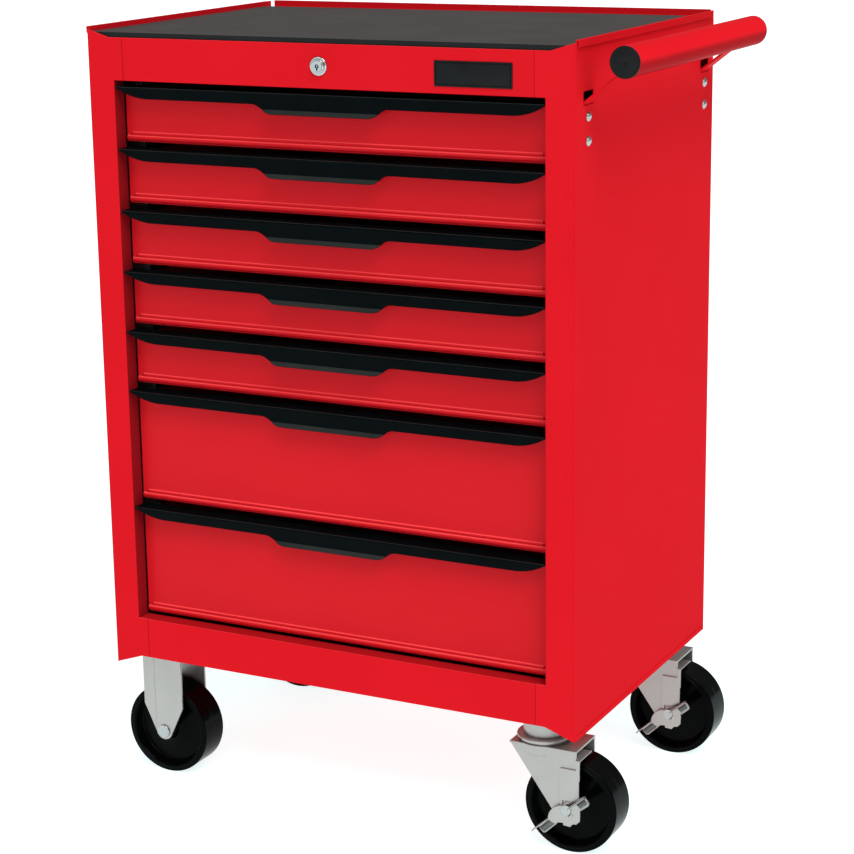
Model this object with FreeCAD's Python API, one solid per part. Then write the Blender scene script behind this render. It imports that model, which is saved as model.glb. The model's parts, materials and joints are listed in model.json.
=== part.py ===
import FreeCAD, Part
import math
import os

# Rolling tool box: a seven-drawer steel cabinet on two fixed and two swivel casters.
# Modelled in cabinet coordinates (mm): x from the outside of the left panel, y back from
# the front face, z up from the floor.  save() moves every sub-part into the row frame,
# whose origin is on the floor under the centre of the overall box.

# ---------------------------------------------------------------- driving dimensions
WIDTH = 680.0              # over the side panels
DEPTH = 463.0              # front face to rear face
CLEARANCE = 163.0          # floor to the lowest cabinet corner
BODY_HEIGHT = 863.5        # lowest cabinet corner to the top of the side lips
SHEET = 1.5                # cabinet sheet
DRAWER_SHEET = 1.2         # drawer and slide sheet

STILE = 38.5               # width of the front stiles
TAB = 52.5                 # side panel tabs that meet the front rails
SEAM = 0.4                 # open seam between the tabs and the front rails
WING_LAP = 12.0            # rail wings that reach behind the tabs, lapped on the rail
RETURN_DEPTH = 22.0        # stile, rail and sill returns behind the front face
SILL_Z = CLEARANCE + 69.0
HEADER_Z = CLEARANCE + 796.0
RAIL_TOP = CLEARANCE + 850.5
RAIL_BOTTOM = CLEARANCE + 14.0
LIP_TOP = CLEARANCE + BODY_HEIGHT
BACK_LIP_TOP = LIP_TOP + 1.0
CORNER_TOP = LIP_TOP - 3.0
HEM = 3.0                  # how far the rolled side lips stand out
HEM_DROP = 8.5
BEND = 1.5                 # outer radius of the stile bend
MAT_THICKNESS = 6.5

SHALLOW_PITCH = 80.25
DEEP_PITCH = 160.5
DRAWER_COUNT = 7
SHALLOW_COUNT = 5
FIRST_TRIM_TOP = CLEARANCE + 788.2
TRIM_GAP = 7.8             # from a drawer front down to the pull below it
FRONT_FACE = 21.0          # drawer skin behind the front face
FRONT_LEFT = 41.0
BOX_LEFT = 51.5
BOX_REAR = 430.0
TRAVEL = 360.0             # drawer opening

SLIDE_HEIGHT = 35.0
SLIDE_FRONT = 26.0
SLIDE_LENGTH = 400.0
POST_WIDTH = 30.0
POST_FRONTS = (64.0, 364.0)

LOCK_X = WIDTH / 2.0
LOCK_Z = CLEARANCE + 823.3
LOCK_PROUD = 5.0
CRANK_RADIUS = 10.0
BAR_Y = 446.0
BAR_THICKNESS = 3.0

TUBE_RADIUS = 19.0
TUBE_OUT = 58.0            # tube axis beyond the right side panel
TUBE_Z = CLEARANCE + 839.3
TUBE_FRONT = 7.0
TUBE_REAR = 452.0
BRACKET_WIDTH = 28.0
BRACKET_SHEET = 3.0
BRACKET_CENTRES = (38.0, 430.0)
BOLT_ZS = (CLEARANCE + 772.0, CLEARANCE + 743.0)

WHEEL_RADIUS = 62.5
WHEEL_WIDTH = 47.0
AXLE_RADIUS = 5.0
RUNNING = 0.05             # radial clearance of every running fit
CASTER_YS = (53.0, DEPTH - 53.0)
FIXED_X = 57.0
SWIVEL_X = 617.0
TRAIL = 45.0               # swivel axis to wheel axle
FORK_SHEET = 3.0
FORK_HALF = 31.0           # fork centre to its outer face
FORK_TOP = 141.0
LOBE = 16.0                # rounded lower end of the swivel fork legs
RACE_TOP = 148.7
LEVER_SWING = math.radians(50.0)
CAM_OFFSET = 3.5
CAM_RADIUS = 9.6
SHOE_TRAVEL = 2.0 * CAM_OFFSET * math.sin(LEVER_SWING / 2.0)

# ---------------------------------------------------------------- derived positions
PLATE_TOP = RAIL_BOTTOM
FLOOR_TOP = RAIL_BOTTOM + SHEET
INNER_REAR = DEPTH - 2.0 * SHEET
REACH_RIGHT = WIDTH + TUBE_OUT + TUBE_RADIUS
REACH_LEFT = min(-HEM, FIXED_X - WHEEL_RADIUS)
ROW_ORIGIN_X = (REACH_RIGHT + REACH_LEFT) / 2.0
ROW_ORIGIN_Y = (DEPTH - LOCK_PROUD) / 2.0
SLIDE_OUT = STILE          # mounting face of the slide uprights


# ---------------------------------------------------------------- shape helpers
def vec(x, y, z):
    return FreeCAD.Vector(x, y, z)


def box(x0, x1, y0, y1, z0, z1):
    return Part.makeBox(x1 - x0, y1 - y0, z1 - z0, vec(x0, y0, z0))


def rod_x(y, z, radius, x0, x1):
    return Part.makeCylinder(radius, x1 - x0, vec(x0, y, z), vec(1, 0, 0))


def rod_y(x, z, radius, y0, y1):
    return Part.makeCylinder(radius, y1 - y0, vec(x, y0, z), vec(0, 1, 0))


def rod_z(x, y, radius, z0, z1):
    return Part.makeCylinder(radius, z1 - z0, vec(x, y, z0), vec(0, 0, 1))


def extruded(points, direction):
    wire = Part.makePolygon(points + [points[0]])
    return Part.Face(wire).extrude(direction)


def plate_xz(points, y0, y1):
    """Outline in x and z, thickness along y."""
    return extruded([vec(x, y0, z) for x, z in points], vec(0, y1 - y0, 0))


def plate_yz(points, x0, x1):
    """Outline in y and z, length along x."""
    return extruded([vec(x0, y, z) for y, z in points], vec(x1 - x0, 0, 0))


def hex_prism(centre, across_flats, length, axis):
    """Hexagonal prism that starts at centre and runs along axis ('x', 'y' or 'z')."""
    corner = across_flats / math.sqrt(3.0)
    angles = [math.radians(60.0 * i) for i in range(6)]
    ring = [(corner * math.cos(a), corner * math.sin(a)) for a in angles]
    if axis == "x":
        points = [centre + vec(0, u, v) for u, v in ring]
        return extruded(points, vec(length, 0, 0))
    if axis == "y":
        points = [centre + vec(u, 0, v) for u, v in ring]
        return extruded(points, vec(0, length, 0))
    points = [centre + vec(u, v, 0) for u, v in ring]
    return extruded(points, vec(0, 0, length))


def fuse(shapes):
    return shapes[0].multiFuse(shapes[1:]).removeSplitter()


def cut(shape, tools):
    return shape.cut(tools) if isinstance(tools, list) else shape.cut([tools])


def group(shapes):
    return Part.makeCompound(shapes)


def mirrored(shape):
    """The same shape on the other side of the cabinet's middle plane."""
    return shape.mirror(vec(WIDTH / 2.0, 0, 0), vec(1, 0, 0))


def both_sides(shape):
    return group([shape, mirrored(shape)])


def save(name, shape):
    placed = shape.copy()
    placed.translate(vec(-ROW_ORIGIN_X, -ROW_ORIGIN_Y, 0))
    solids = placed.Solids
    if not solids or not all(s.isValid() for s in solids):
        raise ValueError("bad solids in " + name)
    result = solids[0] if len(solids) == 1 else Part.makeCompound(solids)
    result.exportStep("parts/" + name + ".step")
    print(name, len(solids), round(result.Volume / 1000.0, 2), "cm3")


# ---------------------------------------------------------------- cabinet shell
def side_panel():
    """Left panel: sheet, stile with rail tabs, stile return, rear flange and hems."""
    lip_rear = DEPTH - 0.5
    sheet = box(0, SHEET, 0, DEPTH, CLEARANCE, CORNER_TOP)
    outline = [(0, CLEARANCE), (40.0, RAIL_BOTTOM), (TAB, RAIL_BOTTOM), (TAB, SILL_Z), (STILE, SILL_Z),
               (STILE, HEADER_Z), (TAB, HEADER_Z), (TAB, RAIL_TOP), (33.0, RAIL_TOP), (0, CORNER_TOP)]
    stile = plate_xz(outline, 0, SHEET)
    bent = fuse([sheet, stile])
    bends = [e for e in bent.Edges if abs(e.BoundBox.XMax) < 0.01 and abs(e.BoundBox.YMax) < 0.01]
    bent = cut(bent.makeFillet(BEND, bends), box(-1, SHEET, lip_rear, DEPTH + 1, RAIL_TOP, CORNER_TOP + 1))
    lip = box(0, SHEET, 3.0, lip_rear, CORNER_TOP - 1.0, LIP_TOP)
    stile_return = box(STILE - SHEET, STILE, 0, RETURN_DEPTH, SILL_Z, HEADER_Z)
    rear_flange = box(0, 20.0, DEPTH - SHEET, DEPTH, CLEARANCE, RAIL_TOP - 4.0)
    hem_rear = lip_rear - 9.0
    hem_top = box(-HEM, 0, 3.0, hem_rear, LIP_TOP - SHEET, LIP_TOP)
    hem_wall = box(-HEM, -HEM + 1.2, 3.0, hem_rear, LIP_TOP - HEM_DROP, LIP_TOP)
    bottom_hem = box(-SHEET, 0, 4.0, DEPTH - 4.0, CLEARANCE, CLEARANCE + 6.0)
    return fuse([bent, lip, stile_return, rear_flange, hem_top, hem_wall, bottom_hem])


def handle_openings():
    """Slots and bolt holes of the two handle brackets, through the right panel."""
    tools = []
    for y in BRACKET_CENTRES:
        half = BRACKET_WIDTH / 2.0 + 1.0
        tools.append(box(WIDTH - 3.0, WIDTH + 1.0, y - half, y + half, CLEARANCE + 785.5, CLEARANCE + 802.0))
        tools += [rod_x(y, z, 3.0 + RUNNING, WIDTH - 3.0, WIDTH + 1.0) for z in BOLT_ZS]
    return tools


def back_panel(drawers):
    """Rear sheet with a hemmed lip and two lanced bridges that guide the lock bar."""
    sheet = box(SHEET, WIDTH - SHEET, INNER_REAR, INNER_REAR + SHEET, FLOOR_TOP, RAIL_TOP)
    lip = box(8.0, WIDTH - 4.0, INNER_REAR, INNER_REAR + SHEET, RAIL_TOP, BACK_LIP_TOP)
    hem = box(8.0, WIDTH - 4.0, INNER_REAR + SHEET, DEPTH, BACK_LIP_TOP - 10.0, BACK_LIP_TOP)
    parts = [sheet, lip, hem]
    for index in (1, 5):
        z0 = drawers[index]["box_top"] + 4.0
        bridge = box(326.0, 354.0, BAR_Y - 3.5, INNER_REAR, z0, z0 + 12.0)
        opening = box(329.0, 351.0, BAR_Y - 1.0, INNER_REAR, z0 - 1.0, z0 + 13.0)
        parts.append(bridge.cut(opening))
    return fuse(parts)


def base_pan():
    """Cabinet floor with side and rear upstands, lower front rail and drawer sill."""
    floor = box(SHEET, WIDTH - SHEET, SHEET, INNER_REAR, RAIL_BOTTOM, FLOOR_TOP)
    rail = box(TAB + SEAM, WIDTH - TAB - SEAM, 0, SHEET, RAIL_BOTTOM, SILL_Z)
    wing = box(STILE, TAB + WING_LAP, SHEET, 2 * SHEET, RAIL_BOTTOM, SILL_Z)
    sill = box(STILE, WIDTH - STILE, SHEET, RETURN_DEPTH, SILL_Z - SHEET, SILL_Z)
    sill_drop = box(STILE, WIDTH - STILE, RETURN_DEPTH - SHEET, RETURN_DEPTH, SILL_Z - 12.0, SILL_Z)
    rear_up = box(SHEET, WIDTH - SHEET, INNER_REAR - SHEET, INNER_REAR, FLOOR_TOP, FLOOR_TOP + 14.0)
    side_up = box(SHEET, 2 * SHEET, 2 * SHEET, INNER_REAR, FLOOR_TOP, FLOOR_TOP + 14.0)
    pan = fuse([floor, rail, wing, mirrored(wing), sill, sill_drop, rear_up, side_up, mirrored(side_up)])
    return cut(pan, [rod_z(x, y, 4.0 + RUNNING, RAIL_BOTTOM - 1, FLOOR_TOP + 1) for x, y in plate_bolts()])


def top_tray():
    """Flat top sheet with side and rear skirts, under the mat."""
    skirt_bottom = RAIL_TOP - 14.0
    sheet = box(SHEET, WIDTH - SHEET, SHEET, INNER_REAR, RAIL_TOP - SHEET, RAIL_TOP)
    side = box(SHEET, 2 * SHEET, 2 * SHEET, INNER_REAR, skirt_bottom, RAIL_TOP)
    rear = box(SHEET, WIDTH - SHEET, INNER_REAR - SHEET, INNER_REAR, skirt_bottom, RAIL_TOP)
    return fuse([sheet, side, mirrored(side), rear])


def lock_rail():
    """Upper front rail that carries the lock, with wings behind the side panel tabs."""
    face = box(TAB + SEAM, WIDTH - TAB - SEAM, 0, SHEET, HEADER_Z, RAIL_TOP)
    wing = box(STILE, TAB + WING_LAP, SHEET, 2 * SHEET, HEADER_Z, RAIL_TOP - 2 * SHEET)
    header = box(STILE, WIDTH - STILE, SHEET, RETURN_DEPTH, HEADER_Z, HEADER_Z + SHEET)
    rail = fuse([face, wing, mirrored(wing), header])
    return cut(rail, rod_y(LOCK_X, LOCK_Z, 9.5 + RUNNING, -1.0, SHEET + 1.0))


def top_mat():
    mat = box(2.0, WIDTH - 2.0, 2.0, DEPTH - 17.0, RAIL_TOP, RAIL_TOP + MAT_THICKNESS)
    uprights = [e for e in mat.Edges if abs(e.Vertexes[0].Z - e.Vertexes[1].Z) > 1.0]
    return mat.makeFillet(3.0, uprights)


def slide_uprights():
    """Four channels between the side panels and the slides."""
    posts = []
    for y in POST_FRONTS:
        z0 = FLOOR_TOP + 16.0
        z1 = RAIL_TOP - 16.0
        face = box(SLIDE_OUT - SHEET, SLIDE_OUT, y, y + POST_WIDTH, z0, z1)
        front = box(SHEET, SLIDE_OUT, y, y + SHEET, z0, z1)
        rear = box(SHEET, SLIDE_OUT, y + POST_WIDTH - SHEET, y + POST_WIDTH, z0, z1)
        post = fuse([face, front, rear])
        posts += [post, mirrored(post)]
    return group(posts)


# ---------------------------------------------------------------- drawers and slides
def drawer_layout():
    """Heights of the drawers, from the top one down."""
    drawers = []
    trim_top = FIRST_TRIM_TOP
    for index in range(DRAWER_COUNT):
        pitch = SHALLOW_PITCH if index < SHALLOW_COUNT else DEEP_PITCH
        skin_bottom = trim_top - (pitch - TRIM_GAP)
        drawers.append({"trim_top": trim_top, "skin_bottom": skin_bottom, "box_top": trim_top - 8.0,
                        "box_bottom": skin_bottom + 3.0, "slide_z": skin_bottom + 33.0})
        trim_top -= pitch
    return drawers


def channel(x_back, x_lip, z_mid, half_height, y0, y1):
    """C-section slide member: web at x_back, flanges that reach x_lip."""
    sheet = DRAWER_SHEET
    web = box(x_back, x_back + sheet, y0, y1, z_mid - half_height, z_mid + half_height)
    low, high = min(x_back, x_lip), max(x_back + sheet, x_lip)
    top = box(low, high, y0, y1, z_mid + half_height - sheet, z_mid + half_height)
    bottom = box(low, high, y0, y1, z_mid - half_height, z_mid - half_height + sheet)
    return fuse([web, top, bottom])


def cabinet_member(z_mid):
    return channel(SLIDE_OUT, SLIDE_OUT + 10.5, z_mid, SLIDE_HEIGHT / 2.0, SLIDE_FRONT,
                   SLIDE_FRONT + SLIDE_LENGTH)


def middle_member(z_mid):
    """Runs inside the cabinet member and carries the inner member."""
    y0, y1 = SLIDE_FRONT + 1.0, SLIDE_FRONT + SLIDE_LENGTH - 1.0
    sheet = DRAWER_SHEET
    web = box(SLIDE_OUT + 4.7, SLIDE_OUT + 4.7 + sheet, y0, y1, z_mid - 14.0, z_mid + 14.0)
    top = box(SLIDE_OUT + 2.2, SLIDE_OUT + 9.5, y0, y1, z_mid + 14.0 - sheet, z_mid + 14.0)
    bottom = box(SLIDE_OUT + 2.2, SLIDE_OUT + 9.5, y0, y1, z_mid - 14.0, z_mid - 14.0 + sheet)
    return fuse([web, top, bottom])


def inner_member(z_mid):
    return channel(BOX_LEFT - DRAWER_SHEET, SLIDE_OUT + 7.0, z_mid, 10.5, SLIDE_FRONT + 1.0,
                   SLIDE_FRONT + SLIDE_LENGTH - 1.0)


def bead(x0, x1, z, radius, proud):
    """Half-round ridge pressed out of the skin."""
    centre_y = FRONT_FACE + radius - proud
    return rod_x(centre_y, z, radius, x0, x1).common(box(x0, x1, 0, FRONT_FACE + 0.6, z - 20.0, z + 20.0))


def drawer_box(drawer):
    """Open box, front skin with two ridges, and the hook that the lock bar catches."""
    sheet = DRAWER_SHEET
    right = WIDTH - BOX_LEFT
    front_right = WIDTH - FRONT_LEFT
    back_of_skin = FRONT_FACE + sheet
    bottom, top, low = drawer["box_bottom"], drawer["box_top"], drawer["skin_bottom"]
    skin_top = drawer["trim_top"] - 2.0
    skin = box(FRONT_LEFT, front_right, FRONT_FACE, back_of_skin, low, skin_top)
    edge = box(FRONT_LEFT, FRONT_LEFT + sheet, FRONT_FACE, SLIDE_FRONT - 1.0, low, skin_top)
    foot = box(BOX_LEFT + 1.0, right - 1.0, FRONT_FACE, FRONT_FACE + 8.0, low, low + sheet)
    skin = fuse([skin, edge, mirrored(edge), foot])
    corners = [e for e in skin.Edges if e.Length > 60.0
               and abs(e.Vertexes[0].Y - FRONT_FACE) < 0.01 and abs(e.Vertexes[1].Y - FRONT_FACE) < 0.01
               and abs(e.Vertexes[0].X - e.Vertexes[1].X) < 0.01]
    skin = skin.makeFillet(0.9, corners)
    upper = bead(FRONT_LEFT + 9.0, front_right - 9.0, low + 10.6, 2.6, 1.6)
    lower = bead(FRONT_LEFT + 0.9, front_right - 0.9, low + 4.8, 3.6, 2.4)
    floor = box(BOX_LEFT, right, back_of_skin, BOX_REAR + sheet, bottom, bottom + sheet)
    left_wall = box(BOX_LEFT, BOX_LEFT + sheet, back_of_skin, BOX_REAR + sheet, bottom, top)
    left_hem = box(BOX_LEFT, BOX_LEFT + 3.0, back_of_skin, BOX_REAR + sheet, top - sheet, top)
    rear = box(BOX_LEFT, right, BOX_REAR, BOX_REAR + sheet, bottom, top - 6.0)
    hook_arm = box(330.0, 350.0, BOX_REAR, BOX_REAR + 11.0, top - 14.0, top - 12.0)
    hook_tip = box(330.0, 350.0, BOX_REAR + 9.5, BOX_REAR + 11.0, top - 22.0, top - 12.0)
    return fuse([skin, upper, lower, floor, left_wall, mirrored(left_wall), left_hem, mirrored(left_hem),
                 rear, hook_arm, hook_tip])


def arc_outline(start, middle, end, rest):
    """Face outline in x and z: an arc through three points, then straight runs."""
    arc = Part.Arc(vec(*start), vec(*middle), vec(*end)).toShape()
    points = [end] + rest + [start]
    lines = [Part.makeLine(vec(*a), vec(*b)) for a, b in zip(points, points[1:])]
    return Part.Face(Part.Wire([arc] + lines))


def drawer_pull(drawer):
    """Full-width finger pull: top plate, sloping front wall, deeper middle with a flared lip."""
    top = drawer["trim_top"]
    left, right = STILE + 1.2, WIDTH - STILE - 1.2
    depth, mid_depth, lip_depth = 15.5, 21.5, 27.5
    wall = 2.0
    slope = 6.5 / mid_depth
    plate = box(left, right, 0, FRONT_FACE + DRAWER_SHEET + 1.8, top - 2.0, top)
    plate = cut(plate, box(left - 1, FRONT_LEFT + 1.5, FRONT_FACE + 0.2, 30.0, top - 3.0, top + 1.0))
    plate = cut(plate, box(WIDTH - FRONT_LEFT - 1.5, right + 1, FRONT_FACE + 0.2, 30.0, top - 3.0, top + 1.0))
    back_of_skin = FRONT_FACE + DRAWER_SHEET
    tongue = box(BOX_LEFT + 3.0, WIDTH - BOX_LEFT - 3.0, back_of_skin, back_of_skin + 1.8, top - 7.0, top)
    face_foot = depth * slope
    face = plate_yz([(0, top), (wall, top), (face_foot + wall, top - depth), (face_foot, top - depth)],
                    left, right)
    reach, drop = 48.0, depth + 1.0
    start, middle = (left - 0.5, -1.0, top - 1.6), (left + 16.0, -1.0, top - 10.2)
    curve = arc_outline(start, middle, (left + reach, -1.0, top - depth),
                        [(left + reach, -1.0, top - drop - 2), (left - 0.5, -1.0, top - drop - 2)])
    trim = curve.extrude(vec(0, 12.0, 0))
    face = face.cut([trim, mirrored(trim)])
    profile = [(0, top), (wall, top), (6.5 + wall, top - mid_depth), (3.5 + wall, top - lip_depth),
               (3.5, top - lip_depth), (6.5, top - mid_depth)]
    middle_left, middle_right = 240.5, 430.0
    ramp = [(0, 0), (4.0, 0.9), (8.0, 3.0), (12.0, 6.0), (16.0, 9.0), (20.5, 11.1), (26.0, 12.0)]
    mask = plate_xz([(middle_left, top)] + [(middle_left + run, top - depth - fall) for run, fall in ramp]
                    + [(middle_right - run, top - depth - fall) for run, fall in reversed(ramp)]
                    + [(middle_right, top)], -1.0, 12.0)
    deep = plate_yz(profile, middle_left, middle_right).common(mask)
    return fuse([plate, tongue, face, deep])


# ---------------------------------------------------------------- lock
def lock_housing():
    """Round flange, boss and barrel."""
    flange = rod_y(LOCK_X, LOCK_Z, 11.7, -1.6, 0)
    boss = rod_y(LOCK_X, LOCK_Z, 9.0, 0.6 - LOCK_PROUD, 0)
    barrel = rod_y(LOCK_X, LOCK_Z, 9.5, 0, RETURN_DEPTH)
    body = fuse([flange, boss, barrel])
    rims = [e for e in body.Edges if abs(e.BoundBox.YMin - e.BoundBox.YMax) < 0.01
            and (abs(e.BoundBox.YMin + 1.6) < 0.01 and e.BoundBox.XLength > 23.0
                 or abs(e.BoundBox.YMin + LOCK_PROUD - 0.6) < 0.01)]
    body = body.makeFillet(0.9, rims)
    return cut(body, rod_y(LOCK_X, LOCK_Z, 7.0 + RUNNING, -LOCK_PROUD - 1.0, RETURN_DEPTH + 1.0))


def lock_plug():
    """Plug with a keyhole, tail rod to the rear, crank disc and crank pin."""
    plug = rod_y(LOCK_X, LOCK_Z, 7.0, -LOCK_PROUD, RETURN_DEPTH)
    slot = box(LOCK_X - 0.9, LOCK_X + 0.9, -LOCK_PROUD - 1.0, 2.0, LOCK_Z - 5.2, LOCK_Z)
    pin = rod_y(LOCK_X, LOCK_Z, 1.1, -LOCK_PROUD - 1.0, 2.5)
    round_hole = rod_y(LOCK_X, LOCK_Z, 2.7, -LOCK_PROUD - 1.0, 1.0)
    keyhole = [slot.cut(pin), round_hole.cut(pin)]
    rod = rod_y(LOCK_X, LOCK_Z, 3.0, RETURN_DEPTH, BAR_Y - 4.0)
    disc = rod_y(LOCK_X, LOCK_Z, CRANK_RADIUS + 4.0, BAR_Y - 5.0, BAR_Y - 2.0)
    offset = CRANK_RADIUS * math.cos(math.radians(45.0))
    crank_pin = rod_y(LOCK_X - offset, LOCK_Z - offset, 2.5, BAR_Y - 3.0, BAR_Y + BAR_THICKNESS + 1.0)
    return fuse([cut(plug, keyhole), rod, disc, crank_pin])


def lock_bar(drawers):
    """Flat bar with a slotted head for the crank pin and one hooked finger per drawer."""
    y0, y1 = BAR_Y, BAR_Y + BAR_THICKNESS
    offset = CRANK_RADIUS * math.cos(math.radians(45.0))
    pin_z = LOCK_Z - offset
    bottom = drawers[-1]["box_top"] - 55.0
    strip = box(330.0, 350.0, y0, y1, bottom, pin_z - 6.0)
    head = box(LOCK_X - 17.0, 350.0, y0, y1, pin_z - 9.0, pin_z + 9.0)
    slot = box(LOCK_X - CRANK_RADIUS - 3.5, LOCK_X - offset + 3.5, y0 - 1, y1 + 1, pin_z - 3.0, pin_z + 3.0)
    parts = [cut(fuse([strip, head]), slot)]
    for drawer in drawers:
        arm_z = drawer["box_top"] - 41.0
        parts.append(box(334.0, 346.0, y0 - 12.0, y0, arm_z, arm_z + 2.0))
        parts.append(box(334.0, 346.0, y0 - 12.0, y0 - 10.0, arm_z, arm_z + 12.0))
    return fuse(parts)


# ---------------------------------------------------------------- push handle
def handle_tube():
    axis_x = WIDTH + TUBE_OUT
    outer = rod_y(axis_x, TUBE_Z, TUBE_RADIUS, TUBE_FRONT, TUBE_REAR)
    return cut(outer, rod_y(axis_x, TUBE_Z, TUBE_RADIUS - 2.0, TUBE_FRONT - 1, TUBE_REAR + 1))


def handle_end_caps():
    """Plastic caps with a plug that sits inside the tube."""
    axis_x = WIDTH + TUBE_OUT
    plug_radius = TUBE_RADIUS - 2.0 - RUNNING
    front = fuse([rod_y(axis_x, TUBE_Z, TUBE_RADIUS, TUBE_FRONT - 3.0, TUBE_FRONT),
                  rod_y(axis_x, TUBE_Z, plug_radius, TUBE_FRONT - 3.0, TUBE_FRONT + 12.0)])
    rear = fuse([rod_y(axis_x, TUBE_Z, TUBE_RADIUS, TUBE_REAR, TUBE_REAR + 3.0),
                 rod_y(axis_x, TUBE_Z, plug_radius, TUBE_REAR - 12.0, TUBE_REAR + 3.0)])
    return group([front, rear])


def handle_brackets():
    """Bent strips: bolted flat inside the panel, then out through the slot and up to the tube."""
    inside = WIDTH - SHEET
    thick = BRACKET_SHEET
    foot_z, bend_z = CLEARANCE + 730.0, CLEARANCE + 786.0
    run_x, run_z = TUBE_OUT, TUBE_Z - bend_z - 8.0
    length = math.hypot(run_x, run_z)
    along = (run_x / length, run_z / length)
    lower = [(inside, foot_z), (inside, bend_z), (inside + run_x, bend_z + run_z)]
    upper = [(inside + run_x - thick * along[1], bend_z + run_z + thick * along[0]),
             (inside - thick, bend_z + thick * (along[0] - along[1]) + 1.0), (inside - thick, foot_z)]
    brackets = []
    for y in BRACKET_CENTRES:
        strip = plate_xz(lower + upper, y - BRACKET_WIDTH / 2.0, y + BRACKET_WIDTH / 2.0)
        tools = [rod_y(WIDTH + TUBE_OUT, TUBE_Z, TUBE_RADIUS, TUBE_FRONT, TUBE_REAR)]
        tools += [rod_x(y, z, 3.0 + RUNNING, inside - 5.0, inside + 1.0) for z in BOLT_ZS]
        solids = sorted(cut(strip, tools).Solids, key=lambda s: -s.Volume)
        brackets.append(solids[0])
    return group(brackets)


def handle_bolts():
    """Four domed bolts with hexagon nuts inside the panel."""
    pieces = []
    inside = WIDTH - SHEET - BRACKET_SHEET
    for y in BRACKET_CENTRES:
        for z in BOLT_ZS:
            outside = box(WIDTH, WIDTH + 5, y - 9, y + 9, z - 9, z + 9)
            dome = Part.makeSphere(8.2, vec(WIDTH - 4.9, y, z)).common(outside)
            pieces.append(fuse([dome, rod_x(y, z, 3.0, inside - 8.0, WIDTH)]))
            nut = hex_prism(vec(inside - 5.0, y, z), 10.0, 5.0, "x")
            pieces.append(cut(nut, rod_x(y, z, 3.0 + RUNNING / 2.0, inside - 6.0, inside + 1.0)))
    return group(pieces)


# ---------------------------------------------------------------- casters
def plate_bolts():
    """Centres of the sixteen caster mounting bolts."""
    centres = []
    for y in CASTER_YS:
        for x in (FIXED_X, SWIVEL_X):
            centres += [(x + dx, y + dy) for dx in (-40.0, 40.0) for dy in (-24.0, 24.0)]
    return centres


def plate_holes(x, y):
    return [rod_z(x + dx, y + dy, 4.0 + RUNNING, 165.0, 185.0)
            for dx in (-40.0, 40.0) for dy in (-24.0, 24.0)]


def caster_bolts():
    pieces = []
    for x, y in plate_bolts():
        plate_bottom = PLATE_TOP - FORK_SHEET
        head = hex_prism(vec(x, y, plate_bottom - 5.0), 13.0, 5.0, "z")
        pieces.append(fuse([head, rod_z(x, y, 4.0, plate_bottom - 5.0, FLOOR_TOP + 8.5)]))
        nut = hex_prism(vec(x, y, FLOOR_TOP), 13.0, 6.5, "z")
        pieces.append(cut(nut, rod_z(x, y, 4.0 + RUNNING / 2.0, FLOOR_TOP - 1, FLOOR_TOP + 8)))
    return group(pieces)


def fixed_fork(y):
    """Pressed bracket: top plate and two straight legs with tapered, rounded feet."""
    half = 31.0
    foot = 12.5
    left, right = FIXED_X - half, FIXED_X + half
    front, rear = y - FORK_HALF, y + FORK_HALF
    toe_z = WHEEL_RADIUS - foot * 0.35
    leg_outline = [(left, PLATE_TOP), (right, PLATE_TOP), (right, CLEARANCE - 64.0),
                   (FIXED_X + foot * 0.92, toe_z), (FIXED_X - foot * 0.92, toe_z), (left, CLEARANCE - 64.0)]
    parts = [box(FIXED_X - 50.0, FIXED_X + 50.0, front, rear, PLATE_TOP - FORK_SHEET, PLATE_TOP)]
    for inner, outer in ((front, front + FORK_SHEET), (rear - FORK_SHEET, rear)):
        parts.append(plate_xz(leg_outline, inner, outer))
        parts.append(rod_y(FIXED_X, WHEEL_RADIUS, foot, inner, outer))
    step = fuse([plate_xz(leg_outline, front - 0.5, front),
                 rod_y(FIXED_X, WHEEL_RADIUS, foot, front - 0.5, front)])
    parts.append(cut(step, box(left - 1.0, FIXED_X - 12.7, front - 1.0, front, 0, PLATE_TOP + 1.0)))
    axle_hole = rod_y(FIXED_X, WHEEL_RADIUS, AXLE_RADIUS + RUNNING, y - 60.0, y + 60.0)
    return cut(fuse(parts), [axle_hole] + plate_holes(FIXED_X, y))


def fixed_axles():
    """Riveted axles: flat round head in front, formed head behind."""
    pieces = []
    for y in CASTER_YS:
        shank = rod_y(FIXED_X, WHEEL_RADIUS, AXLE_RADIUS, y - FORK_HALF - 3.0, y + FORK_HALF + 2.5)
        front = rod_y(FIXED_X, WHEEL_RADIUS, 9.0, y - FORK_HALF - 3.0, y - FORK_HALF - 0.5)
        rear = rod_y(FIXED_X, WHEEL_RADIUS, 8.0, y + FORK_HALF, y + FORK_HALF + 2.5)
        pieces.append(fuse([shank, front, rear]))
    return group(pieces)


def wheel(x, y):
    """Moulded wheel: hub, conical web, ridged rim and square-shouldered tread."""
    half = WHEEL_WIDTH / 2.0
    hub_half = FORK_HALF - FORK_SHEET - 0.3
    bore = AXLE_RADIUS + RUNNING
    tread = WHEEL_RADIUS
    side = [(bore, hub_half), (13.0, hub_half), (14.5, hub_half - 1.5), (16.0, 16.0), (48.5, 9.5),
            (53.5, half - 1.0), (55.0, half), (56.5, half), (58.0, half - 0.7), (tread, half - 0.7)]
    outline = [(r, -a) for r, a in side] + [(r, a) for r, a in reversed(side)]
    points = [vec(r, a, 0) for r, a in outline]
    solid = Part.Face(Part.makePolygon(points + [points[0]])).revolve(vec(0, 0, 0), vec(0, 1, 0), 360)
    shoulders = [e for e in solid.Edges if e.BoundBox.XLength > 2 * tread - 0.1 and e.BoundBox.YLength < 0.01]
    solid = solid.makeFillet(1.8, shoulders)
    solid.translate(vec(x, y, WHEEL_RADIUS))
    return solid


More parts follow.
